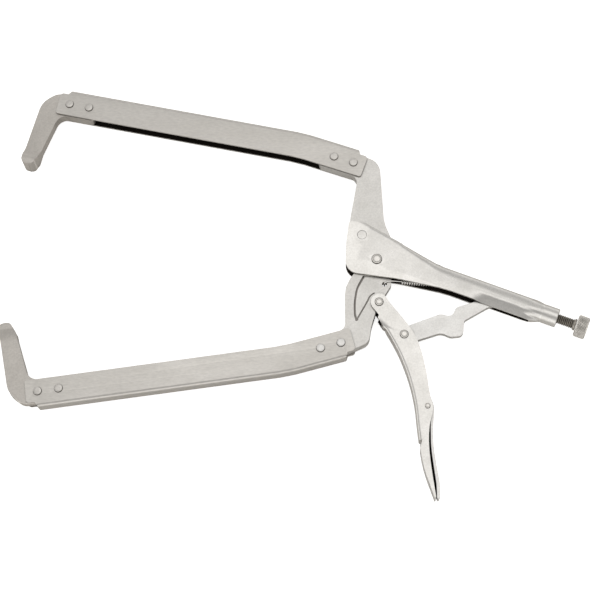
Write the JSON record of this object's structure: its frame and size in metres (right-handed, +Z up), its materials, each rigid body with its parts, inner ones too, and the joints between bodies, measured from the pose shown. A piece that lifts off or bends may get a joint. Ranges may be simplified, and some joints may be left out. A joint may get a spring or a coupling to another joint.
{
  "type": "locking c clamp",
  "caption": "Locking C clamp with long channel reach beams, bent tips with square pads, a toggle-locking lower handle, release lever and adjusting screw.",
  "frame": {"origin": "middle of the underside of the bounding box, with the clamp lying on its pads and knob", "axes": "+X from the clamping tips towards the adjusting knob, +Y from the moving jaw towards the fixed jaw, +Z up, square to the plates"},
  "size_m": [0.4596, 0.3422, 0.0174],
  "materials": {
    "satin_nickel_steel": "satin nickel plate on pressed and forged steel",
    "bright_rivet_steel": "bright nickel plate on headed steel",
    "oiled_thread_steel": "rolled thread, lightly oiled"
  },
  "bodies": {
    "frame": {"fixed_handle": "satin_nickel_steel", "fixed_jaw_arm": "satin_nickel_steel", "nose_pin": "bright_rivet_steel", "jaw_pivot_rivet": "bright_rivet_steel", "return_spring": "satin_nickel_steel", "upper_beam": "satin_nickel_steel", "upper_tip": "satin_nickel_steel", "upper_beam_rivet_1": "bright_rivet_steel", "upper_beam_rivet_2": "bright_rivet_steel", "upper_beam_rivet_3": "bright_rivet_steel", "upper_beam_rivet_4": "bright_rivet_steel"},
    "jaw": {"moving_jaw": "satin_nickel_steel", "lower_beam": "satin_nickel_steel", "lower_tip": "satin_nickel_steel", "lower_beam_rivet_1": "bright_rivet_steel", "lower_beam_rivet_2": "bright_rivet_steel", "lower_beam_rivet_3": "bright_rivet_steel", "lower_beam_rivet_4": "bright_rivet_steel"},
    "handle": {"lower_handle": "satin_nickel_steel", "handle_pivot_rivet": "bright_rivet_steel", "link_rivet": "bright_rivet_steel", "release_rivet": "bright_rivet_steel"},
    "link": {"toggle_link": "satin_nickel_steel"},
    "release": {"release_lever": "satin_nickel_steel"},
    "screw": {"adjusting_screw": "oiled_thread_steel"},
    "knob": {"adjusting_knob": "satin_nickel_steel"}
  },
  "joints": [
    {"name": "jaw_pivot", "type": "hinge", "parent": "frame", "child": "jaw", "pos_m": [0.06555, 0.02031, 0.0087], "axis": [0, 0, 1], "range_deg": [-26.6, 0], "stiffness_Nm_per_rad": 0.3, "deforming": ["return_spring"]},
    {"name": "handle_pivot", "type": "hinge", "parent": "jaw", "child": "handle", "pos_m": [0.06685, -0.01508, 0.0087], "axis": [0, 0, 1], "range_deg": [0, 74.42]},
    {"name": "link_pivot", "type": "hinge", "parent": "handle", "child": "link", "pos_m": [0.08575, -0.04179, 0.0087], "axis": [0, 0, 1], "range_deg": [-62.91, 0]},
    {"name": "release_pivot", "type": "hinge", "parent": "handle", "child": "release", "pos_m": [0.10245, -0.09928, 0.0087], "axis": [0, 0, 1], "range_deg": [0, 14]},
    {"name": "screw_travel", "type": "slide", "parent": "frame", "child": "screw", "axis": [0.9291, -0.3697, 0], "range_m": [0, 0.01]},
    {"name": "knob_turn", "type": "hinge", "parent": "screw", "child": "knob", "pos_m": [0.20452, -0.02858, 0.0087], "axis": [0.9291, -0.3697, 0], "range_deg": [0, 2551.6]}
  ],
  "couplings": [
    {"joint": "handle_pivot", "follows": "jaw_pivot", "ratio": -2.7938},
    {"joint": "link_pivot", "follows": "jaw_pivot", "ratio": 2.3611},
    {"joint": "knob_turn", "follows": "screw_travel", "rad_per_m": 4453}
  ]
}
